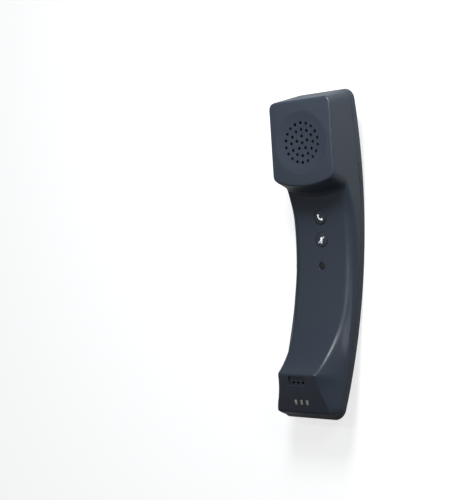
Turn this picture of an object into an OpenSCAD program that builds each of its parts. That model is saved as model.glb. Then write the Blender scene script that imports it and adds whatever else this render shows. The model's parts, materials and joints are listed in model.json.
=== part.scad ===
// Cordless desk telephone handset, lying on its curved outer cover.
// X is the width, +Y points to the ear end and +Z is the side that faces the user.

/* [Body] */
// Length from the ear end to the mouth end
body_l = 212; // [190:1:235]
// Width across the side walls
body_w = 48.5; // [46:0.5:56]
// Radius of the long curve of the outer cover
outer_r = 320; // [290:5:420]
// Radius of the corners of the outline
corner_r = 6.7; // [4:0.1:9]
// Radius of the edges seen from the side
edge_r = 1.6; // [0.8:0.1:2.4]

/* [Ear cup] */
// Height of the top corner of the earpiece face
ear_top_z = 44.5; // [40:0.5:48]
// Distance from the middle of the body to that corner
ear_top_y = 95.5; // [92:0.5:98]
// Height of the bottom corner of the earpiece face
ear_low_z = 36.6; // [34:0.2:39]
// Distance from the middle of the body to that corner
ear_low_y = 46; // [44:0.5:49]
// Distance from the middle of the body to the foot of the cup's underside
ear_foot_y = 42.9; // [41:0.1:44]
// How far the underside bulges towards the grip in the middle
ear_bulge = 4.5; // [2:0.1:6]
// Centre of the round dish and the grille
ear_hole_y = 68.5; // [66:0.5:71]
// Radius of the dish
dish_r = 20; // [18:0.5:20.5]
// Depth of the dish
dish_depth = 1.2; // [0.8:0.1:1.5]
// Radius of one hole of the grille
grille_hole_r = 0.95; // [0.6:0.05:1.1]
// Distance between two rings of holes
grille_pitch = 4.2; // [3.6:0.1:4.4]

/* [Grip] */
// Lowest height of the inner surface
grip_z = 13; // [13:0.1:15]
// Radius of its long curve
grip_r = 170; // [150:5:200]
// Distance from the middle of the body to the lowest point, towards the mouth end
grip_low_y = 13; // [10:0.5:16]
// Distance from the middle of the body to where the rise to the mouthpiece begins
bend_y = 35; // [32:0.5:40]
// Radius of the hollow under the ear cup
neck_r = 6; // [4:0.5:7]

/* [Mouthpiece] */
// Distance from the middle of the body to the ridge
ridge_y = 78; // [75:0.5:80]
// Height of the ridge
ridge_z = 37.7; // [35:0.1:40]
// Distance from the middle of the body to the low edge of the mouth face
mouth_low_y = 99.5; // [98:0.5:101]
// Height of that edge
mouth_low_z = 29; // [27.5:0.1:30]
// Width of the ridge
ridge_w = 28.8; // [26:0.2:34]
// Depth from the outer cover at which the flanks start
flank_depth = 7.5; // [6.5:0.1:8]
// Distance from the middle of the body to where the flanks run out into the grip
flank_start_y = 24; // [20:1:28]
// How fast the flank's crease moves out from the ridge towards the grip
flank_turn = 0.22; // [0.16:0.01:0.24]
// How fast the flank's foot drops towards the grip
flank_foot_turn = 0.17; // [0.14:0.01:0.2]
// How fast the flank fades out in the grip
flank_fade = 0.33; // [0.25:0.01:0.45]
// How fast the crease moves out from the ridge towards the mouth end
mouth_turn = 0.08; // [0:0.01:0.08]

/* [Shells] */
// Wall of the inner housing
wall = 2.2; // [1.8:0.1:2.4]
// Floor of the outer cover
cover_floor = 2; // [1.6:0.1:2.2]
// Side wall of the outer cover
cover_wall = 1.4; // [1.2:0.1:1.6]
// Height of the outer cover's side band
cover_depth = 5.4; // [5:0.1:5.8]
// Width of the seam between cover and housing
seam = 0.3; // [0.2:0.05:0.5]
// Thickness of the frame plate between the shells
frame_plate = 1.4; // [1.2:0.1:1.5]
// Clearance between pieces that fit together
fit = 0.2; // [0.1:0.05:0.25]

/* [Keys and lights] */
// Radius of a key
key_r = 4.6; // [3.5:0.1:5]
// How far a key stands out of the grip
key_proud = 0.3; // [0.2:0.05:0.6]
// Travel of a key
key_travel = 0.5; // [0.3:0.05:0.6]
// Distance from the middle of the body to the call key
call_y = 23.3; // [22.5:0.1:25]
// Distance from the middle of the body to the mute key
mute_y = 8.9; // [7:0.1:10]
// Distance from the middle of the body to the indicator window, towards the mouth end
window_y = 7.9; // [6:0.1:9]
// Radius of the indicator window
window_r = 2.5; // [2:0.1:3]
// Distance from the middle of the body to the blue light
blue_y = 93; // [92:0.1:94]
// Radius of the blue light
blue_r = 2; // [1.5:0.1:2.2]
// Distance from the middle of the body to the green light
green_y = 83; // [82:0.1:84]
// Length of the green light bar
green_l = 4.6; // [3.5:0.1:5]
// Width of the green light bar
green_w = 1.1; // [0.8:0.1:1.4]

/* [Volume rocker] */
// Distance from the middle of the body to the rocker's pivot
rocker_y = 47; // [46:0.5:48]
// Length of the rocker
rocker_l = 25; // [22:0.5:26]
// Height of the rocker across the side band
rocker_w = 3.2; // [2.8:0.1:3.2]
// How far the rocker stands out of the side band
rocker_proud = 0.4; // [0.2:0.05:0.6]
// Radius of the rocker's pin
rocker_pin_r = 0.6; // [0.5:0.05:0.7]

/* [Microphone and contacts] */
// Width of the microphone recess
mic_slot_w = 13.6; // [12:0.2:15]
// Height of the microphone recess
mic_slot_h = 6.4; // [5:0.2:6.8]
// Distance between two microphone holes
mic_pitch = 3.6; // [3:0.1:3.8]
// Radius of one microphone hole
mic_hole_r = 0.8; // [0.5:0.05:0.9]
// Distance between two charging contacts
contact_pitch = 4.4; // [4:0.1:5]
// Width of a charging contact
contact_w = 1.8; // [1.4:0.1:2]
// Length of a charging contact
contact_l = 3.2; // [2.6:0.1:3.4]

/* [Inside] */
// Length of the battery
battery_l = 34; // [28:1:36]
// Width of the battery
battery_w = 30; // [26:1:31]
// Thickness of the battery
battery_t = 4.6; // [3.6:0.1:4.8]
// Thickness of the circuit boards
board_t = 1; // [0.8:0.1:1.2]
// Radius of the receiver
receiver_r = 15.5; // [14:0.1:16]
// Radius of a screw's shank
screw_r = 1; // [0.8:0.05:1.1]

/* [Hidden] */
$fn = 64;

half_l = body_l / 2;
half_w = body_w / 2;
rim_z = outer_r - sqrt(outer_r * outer_r - half_l * half_l);
reach = half_l + 8;
far = 400;
eps = 0.01;

// Colours of the plastics, metals and boards
slate = "#3e4654";
dark = "#2a2f38";
board_green = "#2c6a48";
silver = "#b9bcc0";
gold = "#d9b45a";

// Corners of the side outline, as [distance along the body, height]
ear_low = [ear_low_y, ear_low_z];
ridge = [-ridge_y, ridge_z];
mouth_low = [-mouth_low_y, mouth_low_z];
ear_slope = (ear_top_z - ear_low_z) / (ear_top_y - ear_low_y);
ear_tilt = atan(ear_slope);
mouth_slope = (ridge_z - mouth_low_z) / (mouth_low_y - ridge_y);
mouth_tilt = atan(mouth_slope);
ear_lean = atan((half_l - ear_top_y) / (ear_top_z - rim_z));
mouth_lean = atan((half_l - mouth_low_y) / (mouth_low_z - rim_z));

// Long curve of the grip, and the tighter curve up to the ridge
grip_centre = [-grip_low_y, grip_z + grip_r];
function grip_at(y) = grip_centre[1] - sqrt(grip_r * grip_r - (y - grip_centre[0]) * (y - grip_centre[0]));
bend = [-bend_y, grip_at(-bend_y)];
bend_normal = unit(grip_centre - bend);
rise_r = (ridge - bend) * (ridge - bend) / (2 * bend_normal * (ridge - bend));
rise_centre = bend + rise_r * bend_normal;
function rise_at(y) = rise_centre[1] - sqrt(rise_r * rise_r - (y - rise_centre[0]) * (y - rise_centre[0]));
function mouth_at(y) = ridge_z + (y + ridge_y) * mouth_slope;
function front_at(y) = ear_low_z + (y - ear_low_y) * ear_slope;
function inner_at(y) = y > -bend_y ? grip_at(y) : y > -ridge_y ? rise_at(y) : mouth_at(y);
function outer_at(y, depth = 0) = outer_r - sqrt(pow(outer_r - depth, 2) - y * y);

// Plane geometry of outlines
function unit(v) = v / norm(v);
function left_of(a, b) = let (u = unit(b - a)) [-u[1], u[0]];
function fillet(a, p, b, r, n = 6) =
  r <= 0 ? [p] :
  let (
    u = unit(a - p),
    v = unit(b - p),
    half = acos(u * v) / 2,
    c = p + unit(u + v) * r / sin(half),
    s = p + u * r / tan(half) - c,
    e = p + v * r / tan(half) - c,
    start = atan2(s[1], s[0]),
    turn = atan2(s[0] * e[1] - s[1] * e[0], s * e)
  )
  [for (i = [0:n]) c + r * [cos(start + turn * i / n), sin(start + turn * i / n)]];
function shrink(outline, d) =
  let (n = len(outline))
  [for (i = [0:n - 1])
    let (
      a = outline[(i + n - 1) % n],
      b = outline[i],
      c = outline[(i + 1) % n],
      p = left_of(a, b),
      q = left_of(b, c)
    )
    b + (p + q) * d / (1 + p * q)];

// Side outline, counter-clockwise, from the floor up over the ear end to the mouth end
ear_foot = [ear_foot_y, grip_at(ear_foot_y)];
neck_start = ear_foot_y - neck_r;
function side_outline(edge, neck) = concat(
  [[-reach, -reach], [reach, -reach], [reach, front_at(reach)]],
  fillet([reach, front_at(reach)], ear_low, ear_foot, edge),
  fillet(ear_low, ear_foot, [neck_start, grip_at(neck_start)], neck),
  [for (i = [0:16]) let (y = neck_start - (neck_start + bend_y) * i / 16) [y, grip_at(y)]],
  [for (i = [1:12]) let (y = -bend_y - (ridge_y - 2 * edge - bend_y) * i / 12) [y, rise_at(y)]],
  fillet([-ridge_y + 2 * edge, rise_at(-ridge_y + 2 * edge)], ridge, mouth_low, edge),
  [[-reach, mouth_at(-reach)]]
);

module side_extrude(w) {
  rotate([90, 0, 90])
    translate([0, 0, -w / 2])
      linear_extrude(w)
        children();
}

// Prism whose end is one slanted end facet with rounded corners; way is 1 at the ear end
module end_prism(inset, lean, way) {
  w = half_w - inset;
  r = max(corner_r - inset, 0.5);
  low = [w, -far];
  high = [w, -inset];
  other = [-w, -inset];
  points = concat([[-w, -far], low], fillet(low, high, other, r), fillet(high, other, [-w, -far], r));
  translate([0, way * half_l, rim_z])
    rotate([way * lean, 0, 0])
      translate([0, 0, -far])
        linear_extrude(2 * far)
          mirror([0, way < 0 ? 1 : 0])
            polygon(points);
}

// Everything inside the outline of the body, seen from the user's side
module plan_solid(inset) {
  intersection() {
    end_prism(inset, ear_lean, 1);
    end_prism(inset, mouth_lean, -1);
  }
}

// Solid between two depths under the outer curve
module arc_layer(low, high, w = body_w + 2) {
  rotate([90, 0, 90])
    translate([0, outer_r, -w / 2])
      intersection() {
        difference() {
          cylinder(r = outer_r - low, h = w, $fn = 360);
          translate([0, 0, -1])
            cylinder(r = outer_r - high, h = w + 2, $fn = 360);
        }
        translate([-reach, -outer_r, -1])
          cube([2 * reach, outer_r / 2, w + 2]);
      }
}

module arc_strip(low, high, x_low, x_high, y_low, y_high) {
  intersection() {
    arc_layer(low, high);
    translate([x_low, y_low, -1])
      cube([x_high - x_low, y_high - y_low, 60]);
  }
}

// Places children on the outer curve, with local +Z into the body
module on_arc(y, depth = 0) {
  translate([0, 0, outer_r])
    rotate([asin(y / outer_r), 0, 0])
      translate([0, 0, depth - outer_r])
        children();
}

// Places children on the grip's surface, with local +Z out of it
module on_grip(y) {
  translate([0, y, grip_at(y)])
    rotate([asin((y + grip_low_y) / grip_r), 0, 0])
      children();
}

// Places children on the earpiece face, at the centre of the dish
module on_ear() {
  translate([0, ear_hole_y, front_at(ear_hole_y)])
    rotate([ear_tilt, 0, 0])
      children();
}

// Places children on the mouth face
module on_mouth(y) {
  translate([0, y, mouth_at(y)])
    rotate([mouth_tilt, 0, 0])
      children();
}

module block(size) {
  translate([-size[0] / 2, -size[1] / 2, 0])
    cube(size);
}

module tube(r_out, r_in, h) {
  difference() {
    cylinder(r = r_out, h = h);
    translate([0, 0, -1])
      cylinder(r = r_in, h = h + 2);
  }
}

// Everything on the side of a plane to which its normal points
module half_space(point, normal) {
  n = unit(normal);
  translate(point)
    rotate([0, acos(n[2]), atan2(n[1], n[0])])
      translate([-far / 2, -far / 2, 0])
        cube(far);
}

// What the flanks take off the +X side: above the ridge two hollow planes that fade out in
// the grip, and below it one plane down the mouth face
flank_side = [half_w, -ridge_y, outer_at(-ridge_y, flank_depth)];
flank_crease = [ridge_w / 2, -ridge_y, ridge_z];
flank_steep = (half_w - ridge_w / 2) / (ridge_z - flank_side[2]);
flank_overlap = 2;
module flank_cutter() {
  intersection() {
    half_space(flank_crease, [1, flank_turn, flank_steep]);
    half_space(flank_side, [1, flank_foot_turn, 1]);
    half_space([half_w, -flank_start_y, 0], [1, -flank_fade, 0]);
    translate([0, -ridge_y - flank_overlap, -far / 2])
      cube(far);
  }
  intersection() {
    half_space(flank_crease, [1, mouth_turn, flank_steep]);
    translate([0, -ridge_y - far + flank_overlap, -far / 2])
      cube(far);
  }
}
module both_sides() {
  children();
  mirror([1, 0, 0])
    children();
}

// Ear cup's underside, round in plan
bulge_r = (half_w * half_w + ear_bulge * ear_bulge) / (2 * ear_bulge);
under_lean = atan((ear_low_y - ear_foot_y) / (ear_low_z - ear_foot[1]));
module ear_underside() {
  intersection() {
    translate([0, ear_low_y, ear_low_z])
      rotate([-under_lean, 0, 0])
        translate([0, bulge_r - ear_bulge, -30])
          cylinder(r = bulge_r, h = 60, $fn = 180);
    side_extrude(body_w)
      polygon([
        [ear_foot_y - 2 * ear_bulge, grip_z],
        [ear_low_y + 6, grip_z],
        [ear_low_y + 6, front_at(ear_low_y + 6)],
        [ear_foot_y - 2 * ear_bulge, front_at(ear_foot_y - 2 * ear_bulge)]
      ]);
  }
}

// Whole outside of the handset, without its seam
module envelope() {
  difference() {
    intersection() {
      union() {
        side_extrude(body_w + 2)
          polygon(side_outline(edge_r, neck_r));
        ear_underside();
      }
      plan_solid(0);
    }
    both_sides()
      flank_cutter();
  }
}

housing_depth = cover_depth + seam;
frame_low = cover_floor + 1;
frame_top = frame_low + frame_plate;
lip_w = 1.2;
lip_inset = cover_wall + fit;
ear_wall = wall + 1;

// Hollow of the inner housing
module housing_hollow() {
  difference() {
    intersection() {
      side_extrude(body_w - 2 * wall)
        polygon(shrink(side_outline(0, 0), wall));
      plan_solid(wall);
    }
    both_sides()
      translate([-wall, 0, -wall / 2])
        flank_cutter();
    on_ear()
      translate([0, 0, -ear_wall])
        cylinder(r = dish_r + 1, h = 10);
  }
}

// Lip that centres the housing in the outer cover
module housing_lip() {
  difference() {
    intersection() {
      arc_layer(frame_top + fit / 2, housing_depth + 1);
      plan_solid(lip_inset);
    }
    plan_solid(lip_inset + lip_w);
    rocker_room(rocker_l + 2);
    for (y = hook_ys)
      hook_room(y);
  }
}

// Screws, as [distance from the middle, distance along the body]
screw_places = [[16, 88], [17.5, 40], [18.5, -28.5], [13, -92]];
boss_r = screw_r + 1.6;
screw_l = 4.6;
screw_head_r = 1.9;
screw_head_h = 0.8;
module at_screws() {
  for (place = screw_places)
    for (side = [-1, 1])
      if (!(side > 0 && place[1] == screw_places[1][1]))
        translate([side * place[0], 0, 0])
          on_arc(place[1])
            children();
}

// Snap hooks that hold the outer cover on the frame plate
hook_ys = [68, 12, -55];
hook_l = 6;
hook_grip = 0.45;
hook_t = 0.6;
module hook_room(y) {
  both_sides()
    translate([half_w - cover_wall - 2 * fit - hook_grip, 0, 0])
      on_arc(y, frame_top - 1)
        translate([0, -hook_l / 2 - fit, 0])
          cube([3, hook_l + 2 * fit, hook_t + 1.6]);
}
module hooks() {
  for (y = hook_ys)
    both_sides()
      translate([half_w - cover_wall - fit - hook_grip, 0, 0])
        on_arc(y, frame_top + fit / 2)
          translate([0, -hook_l / 2, 0])
            cube([fit + hook_grip + cover_wall / 2, hook_l, hook_t]);
}

// Grille: one hole in the middle and rings of 5, 12 and 18
grille_counts = [5, 12, 18];
module grille_holes(depth) {
  translate([0, 0, -depth])
    cylinder(r = grille_hole_r, h = depth + 1, $fn = 24);
  for (ring = [0:2])
    for (i = [0:grille_counts[ring] - 1])
      rotate([0, 0, 90 + 360 * i / grille_counts[ring]])
        translate([grille_pitch * (ring + 1), 0, -depth])
          cylinder(r = grille_hole_r, h = depth + 1, $fn = 24);
}

dish_sphere_r = (dish_r * dish_r + dish_depth * dish_depth) / (2 * dish_depth);
receiver_top = ear_wall + 2;
receiver_h = 3;
receiver_cup_r = 9.3;
receiver_cup_h = 4;
gasket_t = 1.4;
mesh_t = 0.3;
seat_ring_w = 1.2;

key_wall = 1.4;
key_flange_w = 1;
key_flange_t = 0.8;
key_stem_l = 1;
key_stem_r = 1.6;
key_pocket = 3;
window_sink = 0.5;

recess_depth = 1.2;
mic_low = 5.6;
mic_y = -ridge_y - 4.2;
mic_hole_y = -1.4;
contact_y = -mouth_low_y + 4;
carrier_rim = 1.2;
mouth_stack = wall + fit / 2;
boot_t = 3.4;
boot_size = [12.4, 7, boot_t];
mic_r = 2.8;
mic_t = 1.8;
mouth_board_top = mouth_stack + boot_t + fit / 2;

magnet_r = 2.4;
magnet_t = 2.2;
magnet_y = 20.6;

rocker_t = 1.4;
rocker_low = (cover_depth - rocker_w) / 2 + 0.2;
rocker_gap = 0.45;
rocker_room_w = 8;
rocker_rib_h = rocker_low + rocker_w - cover_floor - fit;
rocker_pivot_x = half_w - 3;
rocker_boss_r = rocker_pin_r + 0.9;
pin_fit = 0.05;
pin_low = 0.9;
pin_top = housing_depth + 1.4;

module rocker_room(l) {
  translate([half_w - rocker_room_w, 0, 0])
    on_arc(rocker_y, cover_floor)
      translate([0, -l / 2, 0])
        cube([rocker_room_w + 3, l, 5]);
}

module outer_cover() {
  color(slate)
    difference() {
      union() {
        difference() {
          intersection() {
            envelope();
            arc_layer(0, cover_depth);
          }
          intersection() {
            arc_layer(cover_floor, cover_depth + 2);
            plan_solid(cover_wall);
          }
        }
        intersection() {
          hooks();
          plan_solid(0.5);
        }
      }
      translate([half_w - 2 * cover_wall, 0, 0])
        on_arc(rocker_y, rocker_low - fit)
          translate([0, -rocker_l / 2 - fit, 0])
            cube([6, rocker_l + 2 * fit, rocker_w + 2 * fit]);
      translate([rocker_pivot_x, 0, 0])
        on_arc(rocker_y, pin_low)
          cylinder(r = rocker_pin_r + pin_fit, h = 4);
      on_arc(blue_y, -1)
        cylinder(r = blue_r + fit / 2, h = 5);
      on_arc(green_y, -1)
        block([green_w + fit, green_l + fit, 5]);
    }
}

module inner_housing() {
  color(slate)
    difference() {
      union() {
        difference() {
          intersection() {
            envelope();
            arc_layer(housing_depth, 60);
          }
          housing_hollow();
        }
        housing_lip();
        intersection() {
          at_screws()
            translate([0, 0, frame_top + fit / 2])
              cylinder(r = boss_r, h = 40);
          envelope();
        }
        on_ear()
          translate([0, 0, -receiver_top - receiver_h])
            tube(receiver_r + fit + seat_ring_w, receiver_r + fit, receiver_h + receiver_top - wall);
        on_ear()
          translate([0, magnet_y, -ear_wall - magnet_t])
            tube(magnet_r + 1, magnet_r + fit / 2, magnet_t + ear_wall - wall / 2);
        translate([rocker_pivot_x, 0, 0])
          on_arc(rocker_y, housing_depth + fit)
            cylinder(r = boss_r, h = 6);
      }
      on_ear()
        translate([0, 0, dish_sphere_r - dish_depth])
          sphere(r = dish_sphere_r, $fn = 200);
      on_ear()
        grille_holes(ear_wall + 1);
      at_screws()
        translate([0, 0, frame_top])
          cylinder(r = screw_r + pin_fit, h = screw_l + 0.6);
      for (y = [call_y, mute_y])
        on_grip(y) {
          translate([0, 0, -key_pocket])
            cylinder(r = key_r + fit, h = key_pocket + 1);
          translate([0, 0, -key_pocket - 1])
            cylinder(r = key_r + key_flange_w + fit, h = key_pocket + 1 - key_wall);
        }
      on_grip(-window_y) {
        translate([0, 0, -key_pocket])
          cylinder(r = window_r, h = key_pocket + 1);
        translate([0, 0, -key_pocket - 1])
          cylinder(r = window_r + key_flange_w + fit, h = key_pocket + 1 - key_wall);
      }
      on_mouth(mic_y) {
        translate([0, 0, -recess_depth])
          block([mic_slot_w, mic_slot_h, 5]);
        for (i = [-1:1])
          translate([i * mic_pitch, mic_hole_y, -mic_low])
            cylinder(r = mic_hole_r, h = 10, $fn = 24);
      }
      on_mouth(contact_y)
        for (i = [-1:1])
          translate([i * contact_pitch, 0, -5])
            block([contact_w + fit, contact_l + fit, 10]);
      translate([rocker_pivot_x, 0, 0])
        on_arc(rocker_y, 0)
          cylinder(r = rocker_pin_r + pin_fit, h = pin_top + fit);
    }
}

module mid_frame() {
  color(dark)
    difference() {
      union() {
        intersection() {
          arc_layer(frame_low, frame_top);
          plan_solid(cover_wall + fit);
        }
        for (y = [light_board_y - 8, light_board_y + 6])
          translate([9, 0, 0])
            on_arc(y, frame_low + 0.5)
              cylinder(r = 1.5, h = light_board_low - frame_low - 0.5 - fit / 2);
      }
      at_screws()
        cylinder(r = screw_r + fit, h = 10);
      rocker_room(rocker_l + 4);
      on_arc(blue_y, 0)
        cylinder(r = blue_r + fit, h = 10);
      on_arc(green_y, 0)
        block([green_w + 2 * fit, green_l + 2 * fit, 10]);
    }
}

module case_screws() {
  color(silver)
    at_screws()
      translate([0, 0, frame_low]) {
        translate([0, 0, -screw_head_h - fit / 4])
          cylinder(r = screw_head_r, h = screw_head_h);
        translate([0, 0, -screw_head_h])
          cylinder(r = screw_r, h = screw_head_h + frame_plate + screw_l);
      }
}

module ear_mesh() {
  color("#15171a")
    on_ear()
      translate([0, 0, -ear_wall - mesh_t - fit / 4])
        cylinder(r = receiver_r, h = mesh_t);
}

module receiver_gasket() {
  color("#1b1c1f")
    on_ear()
      translate([0, 0, -ear_wall - mesh_t - gasket_t - fit / 2])
        tube(receiver_r, receiver_r - 2, gasket_t);
}

module receiver() {
  color(silver)
    on_ear()
      translate([0, 0, -receiver_top - receiver_h]) {
        cylinder(r = receiver_r, h = receiver_h);
        translate([0, 0, -receiver_cup_h])
          cylinder(r = receiver_cup_r, h = receiver_cup_h + eps);
      }
}

module hook_magnet() {
  color(silver)
    on_ear()
      translate([0, magnet_y, -ear_wall - magnet_t - fit / 4])
        cylinder(r = magnet_r, h = magnet_t);
}

// Rocker with its pivot boss, a thumb rib and two feet for the switches
rocker_foot_y = 8.5;
rocker_foot_w = 1.6;
rocker_nub_l = 3;
rocker_nub_w = 1;
switch_x = rocker_pivot_x - 2.6;
module volume_rocker() {
  color(dark)
    difference() {
      union() {
        translate([half_w - rocker_t, 0, 0])
          on_arc(rocker_y, rocker_low)
            translate([0, -rocker_l / 2, 0])
              cube([rocker_t + rocker_proud / 2, rocker_l, rocker_w]);
        translate([half_w - 0.5, 0, 0])
          on_arc(rocker_y, rocker_low + rocker_w / 2)
            translate([0, -rocker_nub_l / 2, -rocker_nub_w / 2])
              cube([0.5 + rocker_proud, rocker_nub_l, rocker_nub_w]);
        translate([rocker_pivot_x, 0, 0])
          on_arc(rocker_y, cover_floor + fit) {
            cylinder(r = rocker_boss_r, h = rocker_rib_h);
            translate([0, -rocker_boss_r, 0])
              cube([half_w - rocker_pivot_x - rocker_t + 0.3, 2 * rocker_boss_r, rocker_rib_h]);
          }
        for (side = [-1, 1])
          translate([switch_x + rocker_gap, 0, 0])
            on_arc(rocker_y, cover_floor + fit)
              translate([0, side * rocker_foot_y - rocker_foot_w / 2, 0])
                cube([half_w - rocker_t - switch_x - rocker_gap + 0.3, rocker_foot_w, rocker_rib_h]);
      }
      translate([rocker_pivot_x, 0, 0])
        on_arc(rocker_y)
          cylinder(r = rocker_pin_r + pin_fit, h = 10);
    }
}

module rocker_pin() {
  color(silver)
    translate([rocker_pivot_x, 0, 0])
      on_arc(rocker_y, pin_low + fit / 4)
        cylinder(r = rocker_pin_r, h = pin_top - pin_low);
}

switch_t = 1.2;
switch_l = 3.6;
switch_h = 3;
volume_board_h = 5.5;
module volume_board() {
  color(board_green)
    translate([switch_x - switch_t - board_t, 0, 0])
      on_arc(rocker_y, cover_floor + 2 * fit)
        translate([0, -rocker_l / 2 + 2, 0])
          cube([board_t, rocker_l - 4, volume_board_h]);
}

module volume_switches() {
  color(silver)
    for (side = [-1, 1])
      translate([switch_x - switch_t, 0, 0])
        on_arc(rocker_y, cover_floor + 2 * fit)
          translate([0, side * rocker_foot_y - switch_l / 2, 0])
            cube([switch_t, switch_l, switch_h]);
}

light_board_y = (blue_y + green_y) / 2;
light_board_low = frame_top + 1.2;
guide_top = frame_top + 0.2;
lamp_t = 0.7;
module light_board() {
  color(board_green)
    on_arc(light_board_y, light_board_low)
      translate([0, 0, 0.3])
        block([22, blue_y - green_y + 10, board_t]);
}

module status_lamps() {
  color("white")
    for (y = [blue_y, green_y])
      on_arc(y, light_board_low + 0.15 - lamp_t)
        block([2, 1.6, lamp_t]);
}

module blue_light_guide() {
  color("#3f8fd0")
    on_arc(blue_y) {
      translate([0, 0, fit / 4])
        cylinder(r = blue_r, h = guide_top - fit / 4);
      translate([0, 0, cover_floor + fit / 2])
        cylinder(r = blue_r + 1, h = frame_low - cover_floor - fit);
    }
}

module green_light_guide() {
  color("#7fe070")
    on_arc(green_y) {
      translate([0, 0, fit / 4])
        block([green_w, green_l, guide_top - fit / 4]);
      translate([0, 0, cover_floor + fit / 2])
        block([green_w + 2, green_l + 2, frame_low - cover_floor - fit]);
    }
}

ribbon_t = 0.15;
ribbon_w = 8;

// Main board, flat in the curved body, on the frame plate near its ends
main_board_low = -24;
main_board_high = 35;
main_board_mid = (main_board_low + main_board_high) / 2;
main_board_l = main_board_high - main_board_low;
main_board_w = body_w - 2 * wall - 6;
main_board_lift = pow(main_board_l / 2, 2) / (2 * (outer_r - frame_top)) + ribbon_t + fit;
main_board_depth = frame_top + main_board_lift;
module on_board(t = 0) {
  on_arc(main_board_mid, main_board_depth + t)
    children();
}

module main_board() {
  color(board_green)
    on_board()
      block([main_board_w, main_board_l, board_t]);
}

shield_size = [13, 11, 2];
module radio_shield() {
  color(silver)
    on_board(board_t + fit / 4)
      translate([11, -main_board_l / 2 + 9, 0])
        block(shield_size);
}

pad_base_t = 0.9;
dome_r = 4.2;
key_floor = key_wall + fit / 2 + key_flange_t + key_stem_l;
module keypad_rubber() {
  color("#3a3d42")
    intersection() {
      union() {
        on_board(board_t + fit / 4)
          translate([0, (call_y + mute_y) / 2 - main_board_mid, 0])
            block([14, call_y - mute_y + 12, pad_base_t]);
        for (y = [call_y, mute_y])
          on_grip(y)
            translate([0, 0, -key_floor - key_travel - fit / 2 - 12])
              cylinder(r = dome_r, h = 12);
      }
      on_board(board_t + fit / 4)
        block([30, main_board_l, 20]);
    }
}

// Key: cap, flange under the wall and stem over the rubber dome
module key(y) {
  on_grip(y) {
    translate([0, 0, -key_wall - fit / 2 - eps])
      cylinder(r = key_r, h = key_wall + fit / 2 + eps + key_proud);
    translate([0, 0, -key_wall - fit / 2 - key_flange_t])
      cylinder(r = key_r + key_flange_w, h = key_flange_t);
    translate([0, 0, -key_floor])
      cylinder(r = key_stem_r, h = key_stem_l + eps);
  }
}

module call_key() {
  color(dark)
    key(call_y);
}

module mute_key() {
  color(dark)
    key(mute_y);
}

window_floor = grip_at(-window_y) - outer_at(-window_y) - main_board_depth - board_t;
lamp_h = 0.6;
window_stem_r = 1.5;
module indicator_window() {
  color("#14161a")
    on_grip(-window_y) {
      translate([0, 0, -key_wall - fit / 2 - eps])
        cylinder(r = window_r - fit / 2, h = key_wall + fit / 2 + eps - window_sink);
      translate([0, 0, -key_wall - fit / 2 - key_flange_t])
        cylinder(r = window_r + key_flange_w, h = key_flange_t);
      translate([0, 0, -window_floor + lamp_h + 2 * fit])
        cylinder(r = window_stem_r, h = window_floor - lamp_h - 2 * fit - key_wall - fit / 2 - key_flange_t + eps);
    }
}

module indicator_lamp() {
  color("white")
    on_board(board_t + fit / 4)
      translate([0, -window_y - main_board_mid, 0])
        block([1.6, 1.6, lamp_h]);
}

// Battery pouch on its pad
battery_y = -46;
battery_lift = pow(battery_l / 2, 2) / (2 * (outer_r - frame_top)) + fit / 2;
pad_low = frame_top + ribbon_t + fit / 2;
pad_top = pad_low + 0.35;
module battery_pad() {
  color("#2b2b2e")
    arc_strip(pad_low, pad_top, -battery_w / 2 + 1, battery_w / 2 - 1,
      battery_y - battery_l / 2 + 1, battery_y + battery_l / 2 - 1);
}

module battery() {
  color("#c9ccd2")
    on_arc(battery_y, pad_top + battery_lift)
      difference() {
        block([battery_w, battery_l, battery_t]);
        for (side = [-1, 1])
          translate([side * battery_w / 2, 0, battery_t / 2])
            rotate([0, 45, 0])
              block([0.8, battery_l + 2, 0.8]);
      }
}

weight_y = 65;
weight_size = [26, 20, 6];
module weight_block() {
  color("#8b8f95")
    on_arc(weight_y, frame_top + pow(weight_size[1] / 2, 2) / (2 * outer_r) + ribbon_t + fit)
      translate([-2, 0, 0])
        block(weight_size);
}

module mic_boot() {
  color("#1b1c1f")
    on_mouth(mic_y)
      translate([0, mic_hole_y, -mouth_stack - boot_t])
        difference() {
          block(boot_size);
          translate([0, 0, -1])
            cylinder(r = mic_r + fit / 4, h = mic_t + 1.2);
          translate([0, 0, mic_t])
            block([2 * mic_pitch + 2 * mic_hole_r, 2 * mic_hole_r, boot_t]);
        }
}

module mic_capsule() {
  color(silver)
    on_mouth(mic_y)
      translate([0, mic_hole_y, -mouth_stack - boot_t])
        cylinder(r = mic_r, h = mic_t);
}

mouth_board_size = [18, 17.5, board_t];
module mouth_board() {
  color(board_green)
    on_mouth(contact_y)
      translate([0, mouth_board_size[1] / 2 - 1.5, -mouth_board_top - board_t])
        block(mouth_board_size);
}

module contact_carrier() {
  color(dark)
    on_mouth(contact_y)
      difference() {
        translate([0, 0.9, -mouth_board_top + fit / 4])
          block([
            2 * contact_pitch + contact_w + 2 * carrier_rim,
            contact_l + 2 * carrier_rim,
            mouth_board_top - mouth_stack - fit / 4
          ]);
        for (i = [-1:1])
          translate([i * contact_pitch, 0, -mouth_board_top - 1])
            block([contact_w + fit / 2, contact_l + fit / 2, 10]);
      }
}

contact_proud = 0.15;
module contact(i) {
  color(gold)
    on_mouth(contact_y)
      translate([i * contact_pitch, 0, -mouth_board_top + fit / 4])
        block([contact_w, contact_l, mouth_board_top + contact_proud - fit / 4]);
}

module contact_left() {
  contact(-1);
}

module contact_middle() {
  contact(0);
}

module contact_right() {
  contact(1);
}

module mouth_ribbon() {
  color("#a8713a")
    arc_strip(frame_top + fit / 4, frame_top + fit / 4 + ribbon_t, -ribbon_w / 2, ribbon_w / 2,
      -ridge_y - 8, main_board_low + 4);
}

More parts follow.
